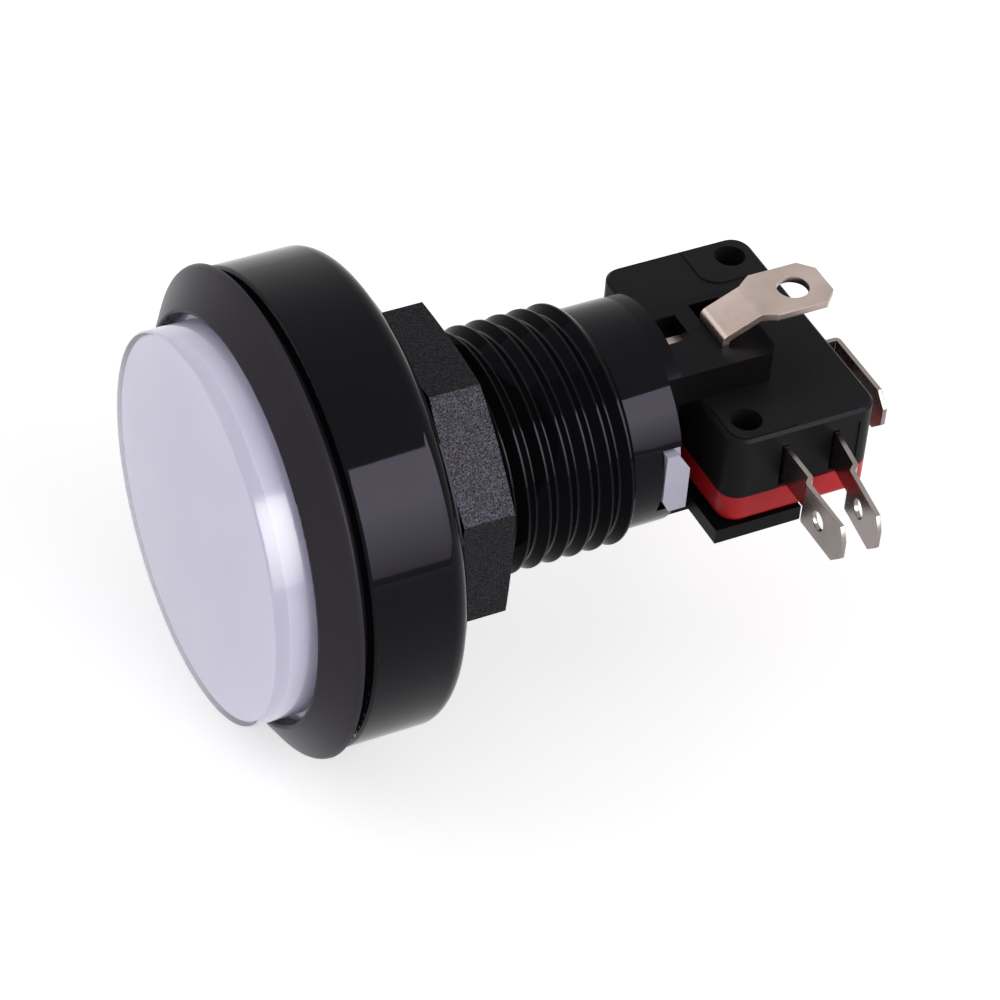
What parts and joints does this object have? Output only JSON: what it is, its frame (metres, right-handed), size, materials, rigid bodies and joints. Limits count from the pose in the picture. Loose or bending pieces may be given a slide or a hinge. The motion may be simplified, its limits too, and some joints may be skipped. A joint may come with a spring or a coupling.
{
  "type": "arcade push button",
  "caption": "Round illuminated push button with clear lens, bezel ring, threaded barrel and nut, and a lamp holder that carries a snap-action switch behind the panel.",
  "frame": {"origin": "centre of the bowl's back face, which seats on the front of the panel, on the button's axis", "axes": "+Y along the button's axis from the lens to the switch, the way the button is pressed; +Z towards the switch's black top face; +X towards the switch's changeover terminals"},
  "size_m": [0.0498, 0.0674, 0.0474],
  "materials": {
    "black_gloss_plastic": "glossy moulded",
    "black_matte_plastic": "fine grain moulded",
    "clear_plastic": "polished clear",
    "milky_plastic": "milky",
    "white_plastic": "satin moulded",
    "red_plastic": "semi-gloss moulded",
    "spring_steel": "drawn wire",
    "nickel_plate": "nickel plated",
    "silvered_brass": "silver plated",
    "contact_silver": "bright",
    "spring_bronze": "rolled",
    "lamp_capsule": "clear capsule",
    "tinned_wire": "tinned"
  },
  "bodies": {
    "base": {"housing": "black_gloss_plastic", "bezel_ring": "black_gloss_plastic", "mounting_nut": "black_matte_plastic", "return_spring": "spring_steel", "lamp_holder": "black_matte_plastic", "lamp_base": "white_plastic", "lamp_bulb": "lamp_capsule", "lamp_leads": "tinned_wire", "lamp_terminal_upper": "nickel_plate", "lamp_terminal_lower": "nickel_plate", "switch_case": "black_matte_plastic", "switch_cover": "red_plastic", "terminal_common": "silvered_brass", "terminal_normally_closed": "silvered_brass", "terminal_normally_open": "silvered_brass", "contact_normally_closed": "contact_silver", "contact_normally_open": "contact_silver", "snap_spring": "spring_steel"},
    "button": {"lens_cover": "clear_plastic", "diffuser": "milky_plastic", "plunger": "white_plastic"},
    "pin": {"switch_pin": "red_plastic"},
    "blade": {"contact_blade": "spring_bronze", "moving_contact": "contact_silver"}
  },
  "joints": [
    {"name": "button_press", "type": "slide", "parent": "base", "child": "button", "axis": [0, 1, 0], "range_m": [0, 0.0022], "stiffness_N_per_m": 300, "springref_m": -0.003, "deforming": ["return_spring"]},
    {"name": "pin_slide", "type": "slide", "parent": "base", "child": "pin", "axis": [0, 1, 0], "range_m": [0, 0.0022]},
    {"name": "blade_swing", "type": "hinge", "parent": "base", "child": "blade", "pos_m": [-0.0122, 0.0395, 0.0009], "axis": [0, 0, 1], "range_deg": [0, 2.25], "deforming": ["snap_spring"]}
  ],
  "couplings": [
    {"joint": "pin_slide", "follows": "button_press", "ratio": 1},
    {"joint": "blade_swing", "follows": "button_press", "rad_per_m": 17.6}
  ]
}
